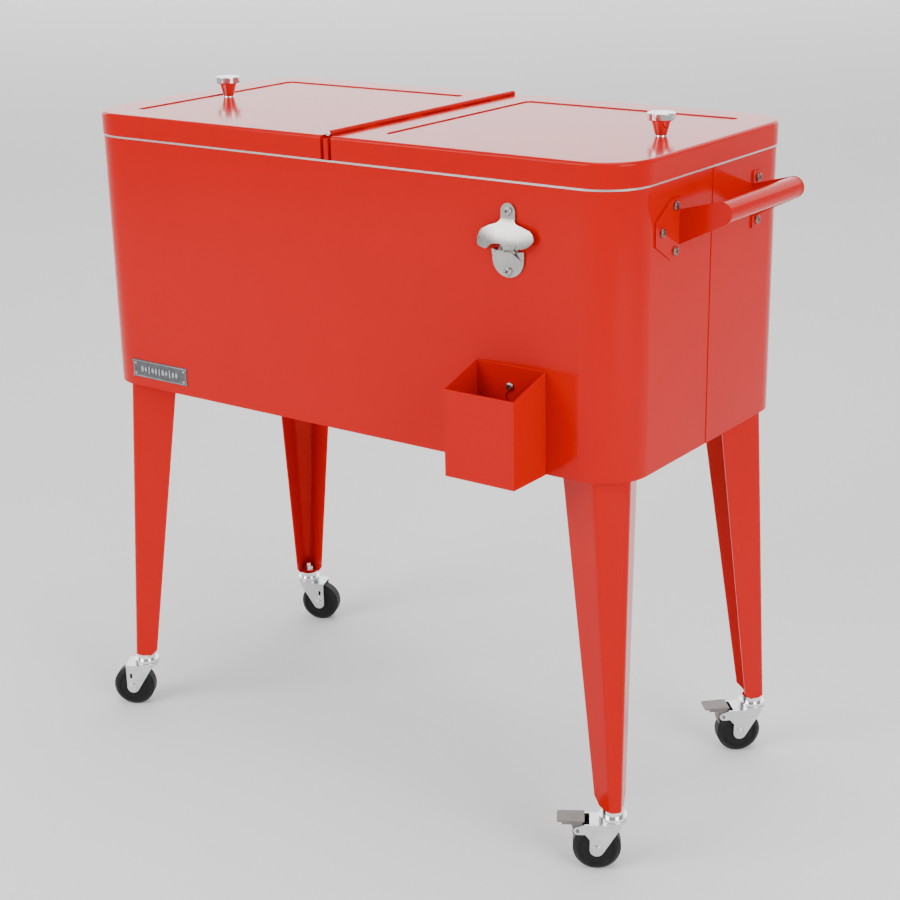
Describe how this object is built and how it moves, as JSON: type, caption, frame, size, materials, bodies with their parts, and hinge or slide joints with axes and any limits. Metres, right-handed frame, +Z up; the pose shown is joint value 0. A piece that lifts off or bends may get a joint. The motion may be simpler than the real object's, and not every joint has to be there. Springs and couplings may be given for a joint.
{
  "type": "rolling patio cooler",
  "caption": "Upright insulated drinks cooler with centre-hinged twin lids, push handle, wall bottle opener, cap catcher, drain and braked swivel casters.",
  "frame": {"origin": "on the floor under the centre of the tub, level with the bottom of the four wheels", "axes": "+X towards the push-handle end, -Y towards the front face with the opener, +Z up"},
  "size_m": [0.9041, 0.4718, 0.875],
  "materials": {
    "red_enamel": "gloss",
    "galvanised_pan": "satin",
    "foam": "matte",
    "white_liner": "gloss",
    "trim_metal": "satin",
    "chrome": "polished",
    "stainless": "satin",
    "red_screw": "gloss",
    "silver_plate": "satin",
    "zinc": "satin",
    "black_wheel": "satin",
    "brake_grey": "satin",
    "gasket_rubber": "matte",
    "drain_plastic": "satin"
  },
  "bodies": {
    "chest": {"outer_shell": "red_enamel", "bottom_pan": "galvanised_pan", "foam_insulation": "foam", "inner_liner": "white_liner", "rim_trim": "trim_metal", "center_rail": "red_enamel", "hinge_pin": "chrome", "leg_front_left": "red_enamel", "leg_front_right": "red_enamel", "leg_rear_left": "red_enamel", "leg_rear_right": "red_enamel", "leg_bolts": "zinc", "handle_bracket_front": "red_enamel", "handle_bracket_rear": "red_enamel", "handle_bar": "red_enamel", "handle_screws": "red_screw", "bottle_opener": "stainless", "opener_screws": "stainless", "name_plate": "silver_plate", "name_plate_rivets": "stainless", "catcher_screw": "stainless", "drain_gasket": "gasket_rubber", "drain_spout": "drain_plastic", "drain_nut": "drain_plastic", "caster_stems": "chrome", "stem_nuts": "zinc"},
    "lid_right": {"lid_skin_right": "red_enamel", "lid_foam_right": "foam", "lid_liner_right": "white_liner", "lid_gasket_right": "gasket_rubber", "hinge_leaf_right": "red_enamel", "knob_screw_right": "chrome", "lid_knob_right": "chrome"},
    "lid_left": {"lid_skin_left": "red_enamel", "lid_foam_left": "foam", "lid_liner_left": "white_liner", "lid_gasket_left": "gasket_rubber", "hinge_leaf_left": "red_enamel", "knob_screw_left": "chrome", "lid_knob_left": "chrome"},
    "catcher": {"cap_catcher": "red_enamel"},
    "drain_plug": {"drain_cap": "drain_plastic"},
    "fork_front_right": {"caster_fork_front_right": "zinc", "caster_axle_front_right": "zinc"},
    "wheel_front_right": {"caster_wheel_front_right": "black_wheel"},
    "brake_front_right": {"brake_lever_front_right": "brake_grey"},
    "fork_rear_right": {"caster_fork_rear_right": "zinc", "caster_axle_rear_right": "zinc"},
    "wheel_rear_right": {"caster_wheel_rear_right": "black_wheel"},
    "brake_rear_right": {"brake_lever_rear_right": "brake_grey"},
    "fork_front_left": {"caster_fork_front_left": "zinc", "caster_axle_front_left": "zinc"},
    "wheel_front_left": {"caster_wheel_front_left": "black_wheel"},
    "fork_rear_left": {"caster_fork_rear_left": "zinc", "caster_axle_rear_left": "zinc"},
    "wheel_rear_left": {"caster_wheel_rear_left": "black_wheel"}
  },
  "joints": [
    {"name": "right_lid_hinge", "type": "hinge", "parent": "chest", "child": "lid_right", "pos_m": [0, 0, 0.851], "axis": [0, -1, 0], "range_deg": [0, 84]},
    {"name": "left_lid_hinge", "type": "hinge", "parent": "chest", "child": "lid_left", "pos_m": [0, 0, 0.851], "axis": [0, 1, 0], "range_deg": [0, 84]},
    {"name": "catcher_lift", "type": "slide", "parent": "chest", "child": "catcher", "axis": [0, 0, 1], "range_m": [0, 0.0125]},
    {"name": "drain_cap_turn", "type": "hinge", "parent": "chest", "child": "drain_plug", "pos_m": [-0.4165, 0, 0.5395], "axis": [-1, 0, 0], "range_deg": [0, 720]},
    {"name": "swivel_front_right", "type": "hinge", "parent": "chest", "child": "fork_front_right", "pos_m": [0.3886, -0.1802, 0.068], "axis": [0, 0, 1], "continuous": true},
    {"name": "roll_front_right", "type": "hinge", "parent": "fork_front_right", "child": "wheel_front_right", "pos_m": [0.37249, -0.19027, 0.029], "axis": [0.5299, -0.848, 0], "continuous": true},
    {"name": "brake_front_right", "type": "hinge", "parent": "fork_front_right", "child": "brake_front_right", "pos_m": [0.35298, -0.20246, 0.0545], "axis": [-0.5299, 0.848, 0], "range_deg": [0, 12]},
    {"name": "swivel_rear_right", "type": "hinge", "parent": "chest", "child": "fork_rear_right", "pos_m": [0.3886, 0.1802, 0.068], "axis": [0, 0, 1], "continuous": true},
    {"name": "roll_rear_right", "type": "hinge", "parent": "fork_rear_right", "child": "wheel_rear_right", "pos_m": [0.3747, 0.16724, 0.029], "axis": [0.682, -0.7314, 0], "continuous": true},
    {"name": "brake_rear_right", "type": "hinge", "parent": "fork_rear_right", "child": "brake_rear_right", "pos_m": [0.35788, 0.15156, 0.0545], "axis": [-0.682, 0.7314, 0], "range_deg": [0, 12]},
    {"name": "swivel_front_left", "type": "hinge", "parent": "chest", "child": "fork_front_left", "pos_m": [-0.3886, -0.1802, 0.068], "axis": [0, 0, 1], "continuous": true},
    {"name": "roll_front_left", "type": "hinge", "parent": "fork_front_left", "child": "wheel_front_left", "pos_m": [-0.40489, -0.18999, 0.029], "axis": [0.515, -0.8572, 0], "continuous": true},
    {"name": "swivel_rear_left", "type": "hinge", "parent": "chest", "child": "fork_rear_left", "pos_m": [-0.3886, 0.1802, 0.068], "axis": [0, 0, 1], "continuous": true},
    {"name": "roll_rear_left", "type": "hinge", "parent": "fork_rear_left", "child": "wheel_rear_left", "pos_m": [-0.37105, 0.18747, 0.029], "axis": [-0.3827, 0.9239, 0], "continuous": true}
  ]
}
